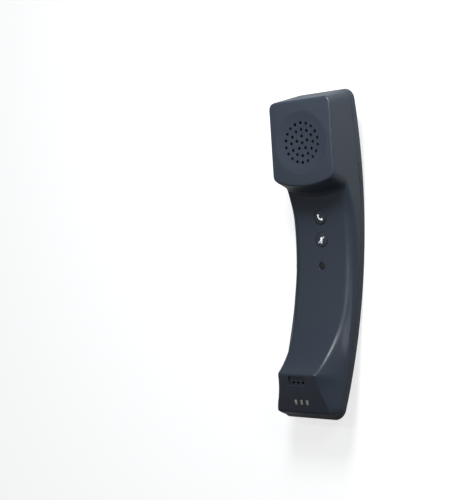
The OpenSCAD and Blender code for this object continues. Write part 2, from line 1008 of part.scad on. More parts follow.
module ear_ribbon() {
  color("#a8713a")
    arc_strip(frame_top + fit / 4, frame_top + fit / 4 + ribbon_t, -10, -10 + ribbon_w / 2,
      main_board_high - 2, light_board_y - 6);
}

outer_cover();
inner_housing();
mid_frame();
case_screws();
ear_mesh();
receiver_gasket();
receiver();
hook_magnet();
volume_rocker();
rocker_pin();
volume_board();
volume_switches();
light_board();
status_lamps();
blue_light_guide();
green_light_guide();
main_board();
radio_shield();
keypad_rubber();
call_key();
mute_key();
indicator_window();
indicator_lamp();
battery();
battery_pad();
weight_block();
mic_boot();
mic_capsule();
mouth_board();
contact_carrier();
contact_left();
contact_middle();
contact_right();
mouth_ribbon();
ear_ribbon();
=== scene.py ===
import json
import math

import bmesh
import bpy
from mathutils import Matrix, Vector


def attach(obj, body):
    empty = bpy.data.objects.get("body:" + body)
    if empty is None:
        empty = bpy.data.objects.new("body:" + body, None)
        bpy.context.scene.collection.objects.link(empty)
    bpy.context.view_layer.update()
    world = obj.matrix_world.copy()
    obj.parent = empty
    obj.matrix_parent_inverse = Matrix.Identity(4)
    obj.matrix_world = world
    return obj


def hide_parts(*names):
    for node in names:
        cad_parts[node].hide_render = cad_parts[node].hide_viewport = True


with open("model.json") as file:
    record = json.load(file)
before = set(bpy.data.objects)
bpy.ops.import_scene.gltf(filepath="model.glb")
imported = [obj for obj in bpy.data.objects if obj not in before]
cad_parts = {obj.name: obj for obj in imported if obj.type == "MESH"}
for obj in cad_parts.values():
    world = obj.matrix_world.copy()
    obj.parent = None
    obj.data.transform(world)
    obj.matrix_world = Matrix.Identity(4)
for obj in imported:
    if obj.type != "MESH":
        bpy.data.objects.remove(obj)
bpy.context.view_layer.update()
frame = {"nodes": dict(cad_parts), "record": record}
CAD = frame["nodes"]
SLOT_OF = {part["node"]: part["material_slot"] for part in frame["record"]["subparts"]}

bl_info = {
    "name": "Telephone handset",
    "version": (1, 0, 0),
    "blender": (4, 5, 0),
    "location": "View3D > Sidebar > Handset",
    "description": "Builds the shells, keys, lights and stage of a cordless desk telephone handset",
    "category": "Object",
}

MM = 0.001


def length(name, description, default):
    return bpy.props.FloatProperty(
        name=name, description=description, default=default * MM, precision=5, unit="LENGTH", subtype="DISTANCE"
    )


def colour(name, description, default):
    return bpy.props.FloatVectorProperty(
        name=name, description=description, default=default, size=3, min=0.0, max=1.0, subtype="COLOR"
    )


class HandsetBody(bpy.types.PropertyGroup):
    """Sizes of the two shells"""

    long: length("Length", "From the ear end to the mouth end", 212)
    wide: length("Width", "Across the side walls", 48.5)
    outer_radius: length("Outer radius", "Long curve of the outer cover", 320)
    corner: length("Corner", "Radius of the outline's corners", 6.7)
    face_corner: length("Face corner", "Corners of the earpiece face and of the mouth face", 4.2)
    cup_edge: length("Cup edge", "Rounding of the ear cup's edges", 1.7)
    grip_edge: length("Grip edge", "Rounding of the grip's long edges", 3.0)
    ear_top_y: length("Ear top along", "Top corner of the earpiece face, along the body", 95.5)
    ear_top_z: length("Ear top height", "Top corner of the earpiece face, height", 44.5)
    ear_low_y: length("Ear bottom along", "Bottom corner of the earpiece face, along the body", 46)
    ear_low_z: length("Ear bottom height", "Bottom corner of the earpiece face, height", 36.6)
    ear_foot_y: length("Cup foot", "Foot of the cup's underside, along the body", 42.9)
    bulge: length("Bulge", "How far the cup's underside bulges in the middle", 4.5)
    cup_corner: length("Cup corner", "Rounding of the underside's two ends", 3.4)
    grip_z: length("Grip height", "Lowest height of the grip", 13)
    grip_radius: length("Grip radius", "Long curve of the grip", 170)
    grip_low_y: length("Grip low point", "Lowest point of the grip, towards the mouth end", 13)
    bend_y: length("Bend", "Where the rise to the mouthpiece begins", 35)
    neck: length("Neck", "Hollow under the ear cup", 6)
    ridge_y: length("Ridge along", "Ridge of the mouthpiece, along the body", 78)
    ridge_z: length("Ridge height", "Ridge of the mouthpiece, height", 37.7)
    mouth_low_y: length("Mouth foot along", "Low edge of the mouth face, along the body", 102)
    mouth_low_z: length("Mouth foot height", "Low edge of the mouth face, height", 28)
    wall: length("Wall", "Wall of the inner housing", 2.2)
    cover_depth: length("Side band", "Height of the outer cover's side band", 5.4)
    cover_floor: length("Cover floor", "Thickness of the outer cover", 2)
    cover_wall: length("Cover wall", "Side wall of the outer cover", 1.4)
    seam: length("Seam", "Gap between cover and housing", 0.16)
    dish_radius: length("Dish radius", "Shallow dish in the earpiece face", 20)
    dish_depth: length("Dish depth", "Depth of that dish", 1.8)
    dish_y: length("Dish place", "Centre of the dish, along the body", 68.5)
    hole_radius: length("Grille hole", "Radius of one hole of the grille", 1.05)
    hole_pitch: length("Grille pitch", "Distance between two rings of holes", 4.2)


class HandsetDetails(bpy.types.PropertyGroup):
    """Sizes of keys, lights, microphone and contacts"""

    key_radius: length("Key radius", "Radius of a key", 4.6)
    key_proud: length("Key height", "How far a key stands out", 0.3)
    call_y: length("Call key", "Place of the call key", 23.3)
    mute_y: length("Mute key", "Place of the mute key", 8.9)
    window_y: length("Window", "Place of the indicator window, towards the mouth end", 7.9)
    window_radius: length("Window radius", "Radius of the indicator window", 2.5)
    blue_y: length("Blue light", "Place of the blue light", 93)
    blue_radius: length("Blue light radius", "Radius of the blue light", 2)
    green_y: length("Green light", "Place of the green light", 83)
    green_long: length("Green light length", "Length of the green light", 4.6)
    green_wide: length("Green light width", "Width of the green light", 1.1)
    rocker_y: length("Rocker", "Place of the rocker's pivot", 47)
    rocker_long: length("Rocker length", "Length of the rocker", 25)
    rocker_wide: length("Rocker width", "Width of the rocker across the band", 3.2)
    rocker_low: length("Rocker depth", "Distance from the outer curve to the rocker", 1.3)
    mic_y: length("Microphone", "Place of the microphone recess, towards the mouth end", 82.2)
    mic_wide: length("Recess width", "Width of the microphone recess", 13.6)
    mic_high: length("Recess height", "Height of the microphone recess", 6.4)
    mic_deep: length("Recess depth", "Depth of the microphone recess", 0.8)
    mic_pitch: length("Hole pitch", "Distance between the microphone holes", 3.6)
    mic_radius: length("Hole radius", "Radius of a microphone hole", 0.95)
    contact_y: length("Contacts", "Place of the charging contacts, towards the mouth end", 95.5)
    contact_pitch: length("Contact pitch", "Distance between two contacts", 4.4)
    contact_wide: length("Contact width", "Width of a contact", 1.8)
    contact_long: length("Contact length", "Length of a contact", 3.2)
    fit: length("Clearance", "Gap between pieces that fit together", 0.2)


class HandsetFinish(bpy.types.PropertyGroup):
    """Colours of the plastics and the stage"""

    shell: colour("Shell", "Plastic of both shells", (0.033, 0.042, 0.059))
    key: colour("Keys", "Plastic of keys and rocker", (0.030, 0.036, 0.047))
    # Also the colour of the painted glow on the marks
    mark: colour("Marks", "Printed pictures on the keys", (0.86, 0.88, 0.9))
    window: colour("Window", "Smoked indicator window", (0.012, 0.013, 0.016))
    blue: colour("Blue light", "Blue light guide", (0.03, 0.22, 0.72))
    green: colour("Green light", "Green light guide", (0.1, 0.62, 0.12))
    floor: colour("Floor", "Floor of the stage", (0.45, 0.45, 0.455))


# Plane geometry of the side view, with x along the body and y as height

def meet(a, along_a, b, along_b):
    """Point where two lines meet"""
    cross = along_a.x * along_b.y - along_a.y * along_b.x
    gap = b - a
    return a + along_a * ((gap.x * along_b.y - gap.y * along_b.x) / cross)


def rounded(a, corner, b, radius, steps):
    """Points of the arc that rounds a corner between a and b"""
    u = (a - corner).normalized()
    v = (b - corner).normalized()
    half = math.acos(max(-1.0, min(1.0, u.dot(v)))) / 2
    centre = corner + (u + v).normalized() * (radius / math.sin(half))
    start = corner + u * (radius / math.tan(half)) - centre
    end = corner + v * (radius / math.tan(half)) - centre
    first = math.atan2(start.y, start.x)
    turn = math.atan2(start.x * end.y - start.y * end.x, start.dot(end))
    angles = [first + turn * i / steps for i in range(steps + 1)]
    return [centre + Vector((math.cos(t), math.sin(t))) * radius for t in angles]


def zero_of(measure, low, high):
    """Place between low and high where measure changes its sign"""
    falling = measure(low) > 0
    for _ in range(50):
        middle = (low + high) / 2
        if (measure(middle) > 0) == falling:
            low = middle
        else:
            high = middle
    return (low + high) / 2


def at(table, x):
    """Value of a table of (place, value) pairs at x"""
    if x <= table[0][0]:
        return table[0][1]
    for (x0, v0), (x1, v1) in zip(table, table[1:]):
        if x <= x1:
            return v0 + (v1 - v0) * (x - x0) / (x1 - x0)
    return table[-1][1]


def spread(a, b, count):
    """Points between a and b, without both"""
    return [a + (b - a) * (i / count) for i in range(1, count)]


def evened(values, passes=3):
    """List of numbers with its kinks smoothed"""
    for _ in range(passes):
        inner = [(values[i - 1] + 2 * values[i] + values[i + 1]) / 4 for i in range(1, len(values) - 1)]
        values = [values[0]] + inner + [values[-1]]
    return values


ZONE_STEPS = 10
FACE_STEPS = 20
GRIP_STEPS = 30
RISE_STEPS = 20
MOUTH_STEPS = 8


class SideView:
    """Side view of the handset, moved inwards by inset"""

    def __init__(self, body, inset=0.0):
        self.body = body
        self.inset = inset
        half = body.long / 2
        rim_z = body.outer_radius - math.sqrt(body.outer_radius ** 2 - half ** 2)
        self.rim_ear = Vector((half, rim_z))
        self.rim_mouth = Vector((-half, rim_z))
        self.outer_centre = Vector((0, body.outer_radius))
        self.ear_top = Vector((body.ear_top_y, body.ear_top_z))
        self.ear_low = Vector((body.ear_low_y, body.ear_low_z))
        self.ridge = Vector((-body.ridge_y, body.ridge_z))
        self.mouth_low = Vector((-body.mouth_low_y, body.mouth_low_z))
        self.grip_centre = Vector((-body.grip_low_y, body.grip_z + body.grip_radius))
        bend = Vector((-body.bend_y, self.grip_at(-body.bend_y, 0)))
        into = (self.grip_centre - bend).normalized()
        climb = self.ridge - bend
        self.rise_radius = climb.dot(climb) / (2 * into.dot(climb))
        self.rise_centre = bend + into * self.rise_radius
        self.corner = body.corner - inset

    def grip_at(self, y, inset=None):
        radius = self.body.grip_radius + (self.inset if inset is None else inset)
        return self.grip_centre.y - math.sqrt(radius ** 2 - (y - self.grip_centre.x) ** 2)

    def rise_at(self, y):
        radius = self.rise_radius + self.inset
        return self.rise_centre.y - math.sqrt(radius ** 2 - (y - self.rise_centre.x) ** 2)

    def front_at(self, y):
        slope = (self.ear_top.y - self.ear_low.y) / (self.ear_top.x - self.ear_low.x)
        return self.ear_low.y + (y - self.ear_low.x) * slope

    def mouth_at(self, y):
        slope = (self.ridge.y - self.mouth_low.y) / (self.ridge.x - self.mouth_low.x)
        return self.ridge.y + (y - self.ridge.x) * slope

    def outer_at(self, y, depth=0.0):
        return self.body.outer_radius - math.sqrt((self.body.outer_radius - depth) ** 2 - y ** 2)

    def depths(self):
        """Distances from an end facet at which the stations of a rounded end lie"""
        return [self.corner * (1 - math.cos(math.radians(90 * i / ZONE_STEPS))) for i in range(ZONE_STEPS + 1)]

    def end_points(self, arc, corner, into, far):
        """Points of the top line at the stations of a rounded end"""
        path = list(arc) + [far]
        away = [(p - corner).dot(into) for p in path]
        found = []
        for depth in self.depths():
            k = next((i for i in range(1, len(path)) if away[i] >= depth), len(path) - 1)
            share = (depth - away[k - 1]) / max(away[k] - away[k - 1], 1e-9)
            found.append(path[k - 1].lerp(path[k], share))
        return found

    def foot_points(self, corner, up, into, depth):
        """Points of the lower line at the stations of a rounded end"""
        found = []
        for away in self.depths():
            start = corner + into * away - self.outer_centre
            b = start.dot(up)
            radius = self.body.outer_radius - depth
            drop = -b - math.sqrt(b * b - start.dot(start) + radius * radius)
            found.append(start + up * drop + self.outer_centre)
        return found

    def top_line(self, shift):
        """Inner outline from the ear end to the mouth end, with the underside moved by shift"""
        body = self.body
        inset = self.inset
        edge = max(body.cup_edge - inset, 0.4 * MM)
        face = (self.ear_top - self.ear_low).normalized()
        face_in = Vector((face.y, -face.x))
        facet = (self.ear_top - self.rim_ear).normalized()
        facet_in = Vector((-facet.y, facet.x))
        foot = Vector((body.ear_foot_y, self.grip_at(body.ear_foot_y, 0)))
        under = (self.ear_low - foot).normalized()
        under_in = Vector((under.y, -under.x))
        top = meet(self.ear_top + face_in * inset, face, self.ear_top + facet_in * inset, facet)
        moved = self.ear_low + Vector((-shift, 0)) + under_in * inset
        low = meet(moved, under, self.ear_top + face_in * inset, face)
        drop = zero_of(lambda t: (low - under * t).y - self.grip_at((low - under * t).x), 0, 30 * MM)
        foot = low - under * drop
        beyond = Vector((foot.x - body.neck, self.grip_at(foot.x - body.neck)))
        low_arc = rounded(top, low, foot, edge, 6)
        neck_arc = rounded(low, foot, beyond, body.neck + inset, 8)
        ear = self.end_points(rounded(self.rim_ear, top, low, edge, 12), top, facet_in, low_arc[0])

        mouth = (self.ridge - self.mouth_low).normalized()
        mouth_in = Vector((mouth.y, -mouth.x))
        end = (self.mouth_low - self.rim_mouth).normalized()
        end_in = Vector((end.y, -end.x))
        start = self.ridge + mouth_in * inset
        reach = self.rise_radius + inset
        climb = zero_of(lambda t: (start + mouth * t - self.rise_centre).length - reach, -20 * MM, 20 * MM)
        ridge = start + mouth * climb
        lowest = meet(start, mouth, self.mouth_low + end_in * inset, end)
        before = Vector((ridge.x + 3 * MM, self.rise_at(ridge.x + 3 * MM)))
        ridge_arc = rounded(before, ridge, lowest, max(1.3 * MM - inset, 0.4 * MM), 5)
        mouth_arc = rounded(self.rim_mouth, lowest, ridge, edge, 12)
        last = self.end_points(mouth_arc, lowest, end_in, ridge_arc[-1])[::-1]

        grip_ys = spread(neck_arc[-1].x, -body.bend_y, GRIP_STEPS) + [-body.bend_y]
        rise_ys = spread(-body.bend_y, ridge_arc[0].x, RISE_STEPS)
        line = ear + spread(ear[-1], low_arc[0], FACE_STEPS) + low_arc
        line += spread(low_arc[-1], neck_arc[0], 5) + neck_arc
        line += [Vector((y, self.grip_at(y))) for y in grip_ys]
        line += [Vector((y, self.rise_at(y))) for y in rise_ys]
        line += ridge_arc + spread(ridge_arc[-1], last[0], MOUTH_STEPS) + last
        self.ends = (top, facet, facet_in, lowest, end, end_in)
        return line

    def low_line(self, depth):
        """Lower outline, at a depth under the outer curve, with one point for each station"""
        top, facet, facet_in, lowest, end, end_in = self.ends
        ear = self.foot_points(top, facet, facet_in, depth)
        last = self.foot_points(lowest, end, end_in, depth)[::-1]
        marks = [ear[-1].x, 49 * MM, 48 * MM, 46.5 * MM, 38.5 * MM, -self.body.bend_y, -self.body.ridge_y, -80.5 * MM, last[0].x]
        ys = spread(marks[0], marks[1], FACE_STEPS)
        ys += [marks[1]] + spread(marks[1], marks[2], 6) + [marks[2]]
        ys += spread(marks[2], marks[3], 5)
        ys += [marks[3]] + spread(marks[3], marks[4], 8) + [marks[4]]
        ys += spread(marks[4], marks[5], GRIP_STEPS) + [marks[5]]
        ys += spread(marks[5], marks[6], RISE_STEPS)
        ys += [marks[6]] + spread(marks[6], marks[7], 5) + [marks[7]]
        ys += spread(marks[7], marks[8], MOUTH_STEPS)
        ys = evened(ys, 6)
        return ear + [Vector((y, self.outer_at(y, depth))) for y in ys] + last


# Shape of the long edges, as (place along the body, value) in millimetres
CREASE = [
    (-106, 21.5), (-102, 20.8), (-99, 20), (-96, 19), (-92, 17.4), (-88, 16), (-83, 14.9), (-78, 14.4), (-71, 15.4),
    (-61.4, 16.4), (-49, 17.8), (-40, 18.9), (-33, 19.7), (-26, 20.1), (-18, 20.2), (-8, 20.15),
]
FOOT_HEIGHT = [(-106, 1.9), (-78, 1.9), (-60, 2.6), (-45, 3), (-33, 2.9), (-20, 2.8), (-8, 3.17)]
CREASE_ROUND = [
    (-106, 1), (-84, 1.1), (-78, 2.3), (-61, 4), (-49, 4.8), (-33, 5.9), (-20, 6.6), (-8, 7), (30, 7), (46, 1.5),
    (106, 1.5),
]
FOOT_ROUND = [(-106, 2), (-78, 2.5), (-50, 4.5), (-33, 5.5), (-20, 6.5), (-8, 7), (30, 7), (46, 1.5), (106, 1.5)]
HOLLOW = [(-106, 0), (-92, 0.05), (-78, 0.15), (-60, 0.25), (-45, 0.2), (-33, 0.1), (-22, 0)]
FLANK_START = -8
CHAMFER = 2 - math.sqrt(2)
TOP_STEPS = 12
SHIFT_STEPS = 60


def cup_shift(body, x):
    """How far the cup's underside lies towards the grip at x"""
    half = body.wide / 2
    x = min(abs(x), half)
    inside = x - (half - body.cup_corner)
    round_off = body.cup_corner - math.sqrt(max(body.cup_corner ** 2 - inside ** 2, 0)) if inside > 0 else 0
    return body.bulge * (1 - (x / half) ** 2) - round_off


def housing_rings(body, inset, depth):
    """Cross-sections of the inner housing from the ear end to the mouth end"""
    view = SideView(body, inset)
    lowest, highest = cup_shift(body, body.wide / 2), body.bulge
    lines = [view.top_line(lowest + (highest - lowest) * i / SHIFT_STEPS) for i in range(SHIFT_STEPS + 1)]
    feet = view.low_line(depth)
    count = len(feet)
    side = lines[0]
    half = body.wide / 2 - inset
    ys = [p.x / MM for p in side]
    crease = evened([at(CREASE, y) * MM - 0.5 * inset for y in ys])
    foot = evened([at(FOOT_HEIGHT, y) * MM for y in ys])
    crease_round = evened([max(at(CREASE_ROUND, y) * MM - inset, 0.3 * MM) for y in ys])
    foot_round = evened([max(at(FOOT_ROUND, y) * MM - inset, 0.3 * MM) for y in ys])
    hollow = evened([at(HOLLOW, y) * MM for y in ys])
    widths = [half] * count
    face_widths = [half] * count
    face_corner = body.face_corner - inset
    for i, away in enumerate(view.depths()):
        for sizes, corner in ((widths, view.corner), (face_widths, face_corner)):
            reach = half - corner + math.sqrt(corner ** 2 - max(corner - away, 0) ** 2)
            sizes[i] = reach
            sizes[count - 1 - i] = reach

    def top_at(i, x):
        share = (cup_shift(body, x) - lowest) / (highest - lowest) * SHIFT_STEPS
        k = min(int(share), SHIFT_STEPS - 1)
        return lines[k][i].lerp(lines[k + 1][i], share - k)

    rings = []
    for i in range(count):
        wide = face_widths[i]
        high = (side[i] - feet[i]).length
        a_round, f_round = crease_round[i], foot_round[i]
        cut = CHAMFER * a_round
        if ys[i] > FLANK_START:
            a = Vector((wide - cut, 0))
            f = Vector((wide, cut))
        else:
            a = Vector((min(crease[i], wide - 1 * MM), 0))
            f = Vector((wide, high - foot[i]))
        slope = (f - a).length
        a_turn = math.atan2(f.y - a.y, f.x - a.x)
        f_turn = math.pi / 2 - a_turn
        a_round = min(a_round, 0.45 * slope / max(math.tan(a_turn / 2), 1e-3))
        f_round = min(f_round, 0.45 * slope / max(math.tan(f_turn / 2), 1e-3))
        f_round = min(f_round, 0.9 * (high - f.y) / max(math.tan(f_turn / 2), 1e-3))
        upper = rounded(Vector((0, 0)), a, f, a_round, 5)
        lower = rounded(a, f, Vector((wide, high)), f_round, 6)
        out = Vector((f.y - a.y, a.x - f.x)).normalized()
        section = [Vector((upper[0].x * k / TOP_STEPS, 0)) for k in range(TOP_STEPS)] + upper
        for k in range(1, 6):
            sink = math.sin(math.pi * k / 6) * hollow[i]
            section.append(upper[-1].lerp(lower[0], k / 6) - out * sink)
        section += lower
        section += [Vector((wide, lower[-1].y + (high - 0.12 * MM - lower[-1].y) * k / 3)) for k in (1, 2, 3)]
        section.append(Vector((wide - 0.12 * MM, high)))
        half_ring = []
        for point in section:
            top = top_at(i, point.x if widths[i] == half else body.wide / 2)
            down = (feet[i] - top).normalized()
            place = top + down * point.y
            narrow = (wide - widths[i]) * point.y / high * point.x / wide
            half_ring.append(Vector((point.x - narrow, place.x, place.y)))
        mirrored = [Vector((-p.x, p.y, p.z)) for p in half_ring[:0:-1]]
        rings.append(mirrored + half_ring)
    return rings


# Small helpers for modelling with operators

def only(piece):
    bpy.ops.object.select_all(action="DESELECT")
    piece.select_set(True)
    bpy.context.view_layer.objects.active = piece


def named(name):
    piece = bpy.context.object
    piece.name = name
    piece.data.name = name
    return piece


def edit(piece, kind):
    only(piece)
    bpy.ops.object.mode_set(mode="EDIT")
    bpy.ops.mesh.select_mode(type=kind)
    bpy.ops.mesh.select_all(action="DESELECT")
    return bmesh.from_edit_mesh(piece.data)


def pick(piece, kind, wanted):
    """Goes to edit mode and selects the faces or edges that pass a test"""
    mesh = edit(piece, kind)
    items = mesh.faces if kind == "FACE" else mesh.edges if kind == "EDGE" else mesh.verts
    for item in items:
        if wanted(item):
            item.select_set(True)
    mesh.select_flush_mode()
    bmesh.update_edit_mesh(piece.data)
    return mesh


def leave():
    bpy.ops.object.mode_set(mode="OBJECT")


def settle(piece):
    """Puts the piece's place into its mesh"""
    only(piece)
    bpy.ops.object.transform_apply(location=True, rotation=True, scale=True)


def box(name, size, centre):
    bpy.ops.mesh.primitive_cube_add(size=1, location=centre)
    piece = named(name)
    piece.scale = size
    settle(piece)
    return piece


def moved(piece, matrix):
    piece.data.transform(matrix)
    return piece


def along_x(edge):
    return abs(edge.verts[0].co.x - edge.verts[1].co.x) > 1e-6


def upright(edge):
    a, b = edge.verts
    return abs(a.co.x - b.co.x) < 1e-7 and abs(a.co.y - b.co.y) < 1e-7


SEAM_TURN = 0.037


def turned(name, outline, steps=48):
    """Solid of revolution about Z from (radius, height) points, from axis to axis"""
    bpy.ops.mesh.primitive_plane_add(size=0.01)
    piece = named(name)
    edit(piece, "VERT")
    bpy.ops.mesh.select_all(action="SELECT")
    bpy.ops.mesh.merge(type="CENTER")
    bpy.ops.transform.translate(value=(outline[0][0], 0, outline[0][1]))
    for before, after in zip(outline, outline[1:]):
        step = (after[0] - before[0], 0, after[1] - before[1])
        bpy.ops.mesh.extrude_region_move(TRANSFORM_OT_translate={"value": step})
    bpy.ops.mesh.select_all(action="SELECT")
    bpy.ops.mesh.spin(steps=steps, angle=2 * math.pi, center=(0, 0, 0), axis=(0, 0, 1))
    bpy.ops.mesh.select_all(action="SELECT")
    bpy.ops.mesh.remove_doubles(threshold=1e-6)
    bpy.ops.mesh.normals_make_consistent(inside=False)
    leave()
    return moved(piece, Matrix.Rotation(SEAM_TURN, 4, "Z"))


def drill(radius, depth, steps):
    bpy.ops.mesh.primitive_cylinder_add(vertices=steps, radius=radius, depth=depth)
    return moved(named("drill"), Matrix.Rotation(SEAM_TURN, 4, "Z"))


def joined(name, pieces):
    bpy.ops.object.select_all(action="DESELECT")
    for piece in pieces:
        piece.select_set(True)
    bpy.context.view_layer.objects.active = pieces[0]
    bpy.ops.object.join()
    return named(name)


def copies(piece, matrices):
    """Copies of a piece, each with its own mesh, in place of the first one"""
    made = []
    for matrix in matrices:
        twin = piece.copy()
        twin.data = piece.data.copy()
        bpy.context.collection.objects.link(twin)
        made.append(moved(twin, matrix))
    bpy.data.objects.remove(piece)
    return made


def cut(piece, tool, careful=False):
    only(piece)
    bpy.ops.object.modifier_add(type="BOOLEAN")
    cutter = piece.modifiers[-1]
    cutter.operation = "DIFFERENCE"
    cutter.solver = "EXACT"
    cutter.use_self = careful
    cutter.object = tool
    bpy.ops.object.modifier_apply(modifier=cutter.name)
    bpy.data.objects.remove(tool)


def softened(piece, width, segments=3, angle=35):
    only(piece)
    bpy.ops.object.modifier_add(type="BEVEL")
    bevel = piece.modifiers[-1]
    bevel.width = width
    bevel.segments = segments
    bevel.limit_method = "ANGLE"
    bevel.angle_limit = math.radians(angle)
    bevel.harden_normals = False
    bpy.ops.object.modifier_apply(modifier=bevel.name)


def smoothed(piece, angle=32, weighted=True):
    only(piece)
    bpy.ops.object.shade_smooth_by_angle(angle=math.radians(angle))
    if weighted:
        bpy.ops.object.modifier_add(type="WEIGHTED_NORMAL")
        normals = piece.modifiers[-1]
        normals.keep_sharp = True
        bpy.ops.object.modifier_apply(modifier=normals.name)


def from_cad(name, node, merge=1e-6):
    """Copy of a CAD node's mesh with its loose triangles merged into whole faces"""
    piece = CAD[node].copy()
    piece.data = CAD[node].data.copy()
    piece.parent = None
    for key in list(piece.keys()):
        del piece[key]
    bpy.context.collection.objects.link(piece)
    piece.hide_set(False)
    piece.hide_render = False
    piece.name = name
    piece.data.name = name
    edit(piece, "VERT")
    bpy.ops.mesh.select_all(action="SELECT")
    bpy.ops.mesh.customdata_custom_splitnormals_clear()
    bpy.ops.mesh.remove_doubles(threshold=merge)
    bpy.ops.mesh.dissolve_limited(angle_limit=math.radians(1))
    leave()
    return piece


def sheet(name, rows):
    """Closed body from a list of open cross-sections, made from a grid"""
    down, across = len(rows), len(rows[0])
    bpy.ops.mesh.primitive_grid_add(x_subdivisions=across - 1, y_subdivisions=down - 1, size=2)
    piece = named(name)
    for vertex in piece.data.vertices:
        column = round((vertex.co.x + 1) / 2 * (across - 1))
        row = round((vertex.co.y + 1) / 2 * (down - 1))
        vertex.co = rows[row][column]
        vertex.select = False
    edge_of = {}
    for index, vertex in enumerate(piece.data.vertices):
        edge_of[index] = vertex.co.copy()
    left = {tuple(round(c, 7) for c in row[0]) for row in rows}
    right = {tuple(round(c, 7) for c in row[-1]) for row in rows}

    def on_side(edge):
        ends = [tuple(round(c, 7) for c in v.co) for v in edge.verts]
        return edge.is_boundary and (all(e in left for e in ends) or all(e in right for e in ends))

    pick(piece, "EDGE", on_side)
    bpy.ops.mesh.bridge_edge_loops()
    bpy.ops.mesh.select_all(action="DESELECT")
    bpy.ops.mesh.select_non_manifold(extend=False, use_wire=False, use_boundary=True, use_multi_face=False)
    bpy.ops.mesh.edge_face_add()
    bpy.ops.mesh.select_all(action="SELECT")
    bpy.ops.mesh.normals_make_consistent(inside=False)
    leave()
    return piece


# Places on the handset, each with local Z out of the surface there

def on_grip(view, y):
    angle = math.asin((y - view.grip_centre.x) / view.body.grip_radius)
    return Matrix.Translation((0, y, view.grip_at(y, 0))) @ Matrix.Rotation(angle, 4, "X")


def on_ear(view):
    angle = math.atan2(view.ear_top.y - view.ear_low.y, view.ear_top.x - view.ear_low.x)
    y = view.body.dish_y
    return Matrix.Translation((0, y, view.front_at(y))) @ Matrix.Rotation(angle, 4, "X")


def on_mouth(view, y):
    angle = math.atan2(view.ridge.y - view.mouth_low.y, view.ridge.x - view.mouth_low.x)
    return Matrix.Translation((0, y, view.mouth_at(y))) @ Matrix.Rotation(angle, 4, "X")


def on_arc(body, y, depth=0.0):
    """Place on the outer curve, with local Z into the body"""
    angle = math.asin(y / body.outer_radius)
    centre = Matrix.Translation((0, 0, body.outer_radius))
    return centre @ Matrix.Rotation(angle, 4, "X") @ Matrix.Translation((0, 0, depth - body.outer_radius))


def curved(piece, body):
    """Bends a flat piece, with Y as arc length and Z as depth, onto the outer curve"""
    radius = body.outer_radius
    arc = radius * math.asin(body.long / 2 / radius)
    for vertex in piece.data.vertices:
        x, run, depth = vertex.co
        angle = run / radius
        near = max(0.0, min(1.0, (abs(run) - arc + 14 * MM) / (6 * MM)))
        lean = (0.0436 if run > 0 else 0.2298) * depth * near
        y = (radius - depth) * math.sin(angle) - math.copysign(lean, run)
        vertex.co = (x, y, radius - (radius - depth) * math.cos(angle))


def slab(name, body, inset, low, high):
    """Flat block with the outline of the handset's curved layers"""
    arc = body.outer_radius * math.asin(body.long / 2 / body.outer_radius)
    size = (body.wide - 2 * inset, 2 * (arc - inset), high - low)
    piece = box(name, size, (0, 0, (low + high) / 2))
    pick(piece, "EDGE", upright)
    bpy.ops.mesh.bevel(offset=body.corner - inset, segments=12, affect="EDGES", offset_type="OFFSET")
    leave()
    return piece


def sliced(piece, body, count=96):
    """Cuts across the length, so that the piece can follow the curve"""
    arc = body.outer_radius * math.asin(body.long / 2 / body.outer_radius)
    for i in range(1, count):
        y = -arc + 2 * arc * i / count
        edit(piece, "VERT")
        bpy.ops.mesh.select_all(action="SELECT")
        bpy.ops.mesh.bisect(plane_co=(0, y, 0), plane_no=(0, 1, 0))
        leave()


# Materials

def material(name, base, roughness, metallic=0.0):
    made = bpy.data.materials.new(name)
    made.use_nodes = True
    shader = made.node_tree.nodes["Principled BSDF"]
    shader.inputs["Base Color"].default_value = (*base, 1)
    shader.inputs["Roughness"].default_value = roughness
    shader.inputs["Metallic"].default_value = metallic
    return made, made.node_tree.nodes, made.node_tree.links, shader


def object_noise(nodes, links, scale, detail=2.0, stretch=(1, 1, 1)):
    place = nodes.new("ShaderNodeTexCoord")
    mapping = nodes.new("ShaderNodeMapping")
    mapping.inputs["Scale"].default_value = stretch
    noise = nodes.new("ShaderNodeTexNoise")
    noise.inputs["Scale"].default_value = scale
    noise.inputs["Detail"].default_value = detail
    links.new(place.outputs["Object"], mapping.inputs["Vector"])
    links.new(mapping.outputs["Vector"], noise.inputs["Vector"])
    return noise


def varied(nodes, links, shader, base, scale, amount, stretch=(1, 1, 1)):
    """Slight change of colour over the surface"""
    noise = object_noise(nodes, links, scale, 3.0, stretch)
    ramp = nodes.new("ShaderNodeValToRGB")
    ramp.color_ramp.elements[0].position = 0.3
    ramp.color_ramp.elements[1].position = 0.7
    ramp.color_ramp.elements[0].color = (*[c * (1 - amount) for c in base], 1)
    ramp.color_ramp.elements[1].color = (*[min(c * (1 + amount), 1) for c in base], 1)
    links.new(noise.outputs["Fac"], ramp.inputs["Fac"])
    links.new(ramp.outputs["Color"], shader.inputs["Base Color"])


def grained(nodes, links, shader, scale, height, low, high, stretch=(1, 1, 1)):
    """Fine surface grain, as bump and as a change of roughness"""
    noise = object_noise(nodes, links, scale, 2.0, stretch)
    bump = nodes.new("ShaderNodeBump")
    bump.inputs["Strength"].default_value = 0.5
    bump.inputs["Distance"].default_value = height
    reach = nodes.new("ShaderNodeMapRange")
    reach.inputs["To Min"].default_value = low
    reach.inputs["To Max"].default_value = high
    links.new(noise.outputs["Fac"], bump.inputs["Height"])
    links.new(bump.outputs["Normal"], shader.inputs["Normal"])
    links.new(noise.outputs["Fac"], reach.inputs["Value"])
    links.new(reach.outputs["Result"], shader.inputs["Roughness"])


def moulded(name, base, low=0.32, high=0.42, grain=2600, height=0.00002):
    made, nodes, links, shader = material(name, base, (low + high) / 2)
    shader.inputs["Specular IOR Level"].default_value = 0.5
    varied(nodes, links, shader, base, 14, 0.05)
    grained(nodes, links, shader, grain, height, low, high)
    return made
